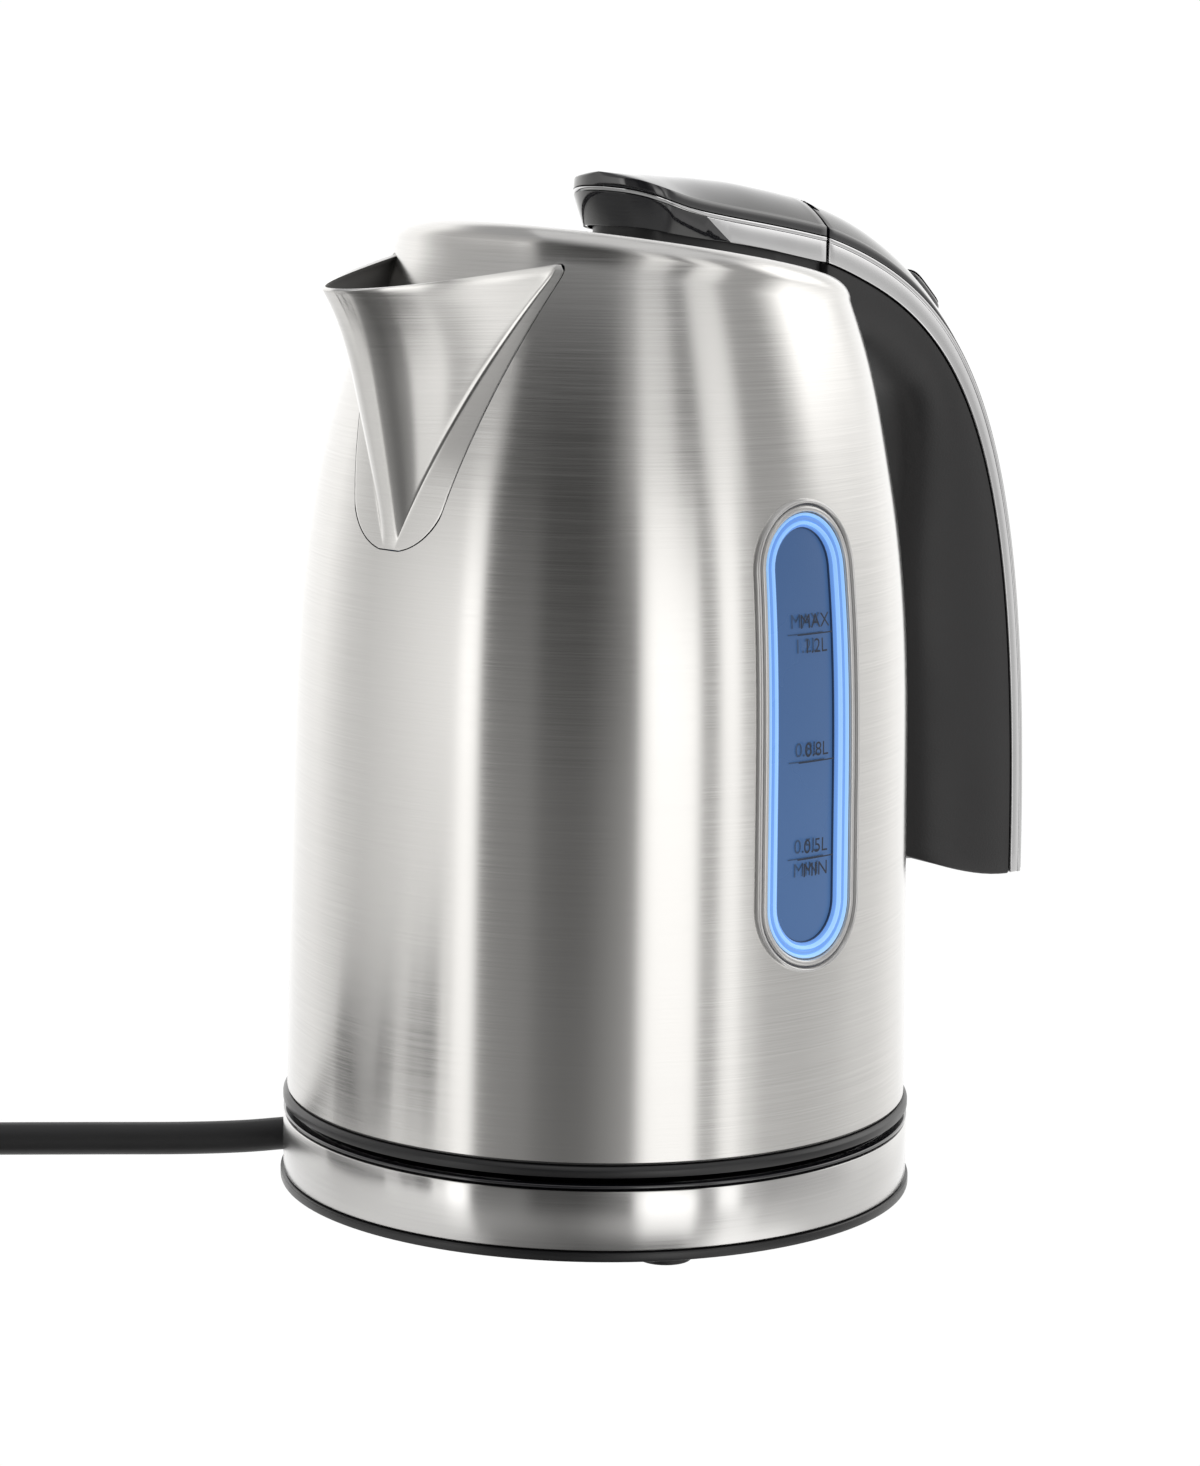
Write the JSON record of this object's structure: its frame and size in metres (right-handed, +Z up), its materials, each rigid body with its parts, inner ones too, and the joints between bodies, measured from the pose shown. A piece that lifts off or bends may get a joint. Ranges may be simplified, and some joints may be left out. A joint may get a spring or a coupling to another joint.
{
  "type": "electric kettle",
  "caption": "Cordless electric kettle with a tapered brushed steel jug, V spout, lit water gauge, arched handle and sprung lid, on a round power base with a mains lead.",
  "frame": {"origin": "centre of the object's plan box without the lead, at the underside of the feet", "axes": "+Z up; the spout points to -X and the handle to +X; the water gauge faces -Y; the lead leaves the base towards -X +Y"},
  "size_m": [0.3589, 0.2331, 0.2293],
  "materials": {
    "brushed_steel": "fine level brushing",
    "bright_trim": "polished",
    "brass": "satin",
    "aluminium": "satin",
    "gloss_black": "high gloss",
    "matte_black": "fine matt",
    "black_rubber": "matt",
    "grey_silicone": "matt",
    "clear_plastic": "clear",
    "lit_blue": "backlit"
  },
  "bodies": {
    "base": {"base_bottom": "matte_black", "base_band": "brushed_steel", "base_cover": "gloss_black", "base_socket": "matte_black", "contact_ring": "brass", "foot_1": "black_rubber", "foot_2": "black_rubber", "foot_3": "black_rubber", "foot_4": "black_rubber", "base_screw_1": "brushed_steel", "base_screw_2": "brushed_steel", "strain_relief": "black_rubber", "cord_clamp": "matte_black", "power_cord": "black_rubber", "cord_coil": "black_rubber", "coil_tie": "matte_black", "plug_body": "matte_black", "plug_pin_1": "brass", "plug_pin_2": "brass"},
    "socket_core": {"socket_core": "brass"},
    "lid": {"lid_cover": "gloss_black", "lid_trim": "bright_trim", "lid_bridge": "matte_black", "lid_plate": "brushed_steel", "lid_plug": "matte_black", "lid_gasket": "grey_silicone", "lid_screw_1": "brushed_steel", "lid_screw_2": "brushed_steel"},
    "lid_button": {"lid_button": "gloss_black"},
    "lid_latch": {"lid_latch": "matte_black"},
    "power_switch": {"power_switch": "matte_black"},
    "jug": {"jug_body": "brushed_steel", "spout": "brushed_steel", "spout_strainer": "brushed_steel", "vessel_floor": "brushed_steel", "handle_bracket": "brushed_steel", "handle_screw_1": "brushed_steel", "handle_screw_2": "brushed_steel", "hinge_pin": "brushed_steel", "button_spring": "brushed_steel", "switch_spindle": "brushed_steel", "handle_trim_left": "bright_trim", "handle_trim_right": "bright_trim", "bimetal_disc": "brass", "heating_element": "aluminium", "diffuser": "aluminium", "handle_cover": "gloss_black", "bottom_ring": "matte_black", "underside_cover": "matte_black", "jug_connector": "matte_black", "control_unit": "matte_black", "steam_tube": "matte_black", "top_collar": "matte_black", "handle_grip": "matte_black", "gauge_seal": "grey_silicone", "gauge_frame": "clear_plastic", "gauge_lens": "clear_plastic", "gauge_panel": "lit_blue", "led_board": "lit_blue"}
  },
  "joints": [
    {"name": "jug_turn", "type": "hinge", "parent": "base", "child": "socket_core", "pos_m": [-0.02875, 0, 0.02], "axis": [0, 0, 1], "continuous": true},
    {"name": "jug_lift", "type": "slide", "parent": "socket_core", "child": "jug", "axis": [0, 0, 1], "range_m": [0, 0.08]},
    {"name": "lid_hinge", "type": "hinge", "parent": "jug", "child": "lid", "pos_m": [0.02945, 0, 0.2202], "axis": [0, 1, 0], "range_deg": [0, 75]},
    {"name": "button_press", "type": "slide", "parent": "jug", "child": "lid_button", "axis": [-0.6569, 0, -0.7539], "range_m": [0, 0.002], "stiffness_N_per_m": 400, "springref_m": -0.002},
    {"name": "latch_slide", "type": "slide", "parent": "jug", "child": "lid_latch", "axis": [0.9582, 0, -0.2861], "range_m": [0, 0.002]},
    {"name": "switch_rock", "type": "hinge", "parent": "jug", "child": "power_switch", "pos_m": [0.03425, 0, 0.0305], "axis": [0, 1, 0], "range_deg": [0, 18], "stiffness_Nm_per_rad": 0.05, "springref_deg": -20.05}
  ],
  "couplings": [
    {"joint": "latch_slide", "follows": "button_press", "ratio": 1}
  ]
}
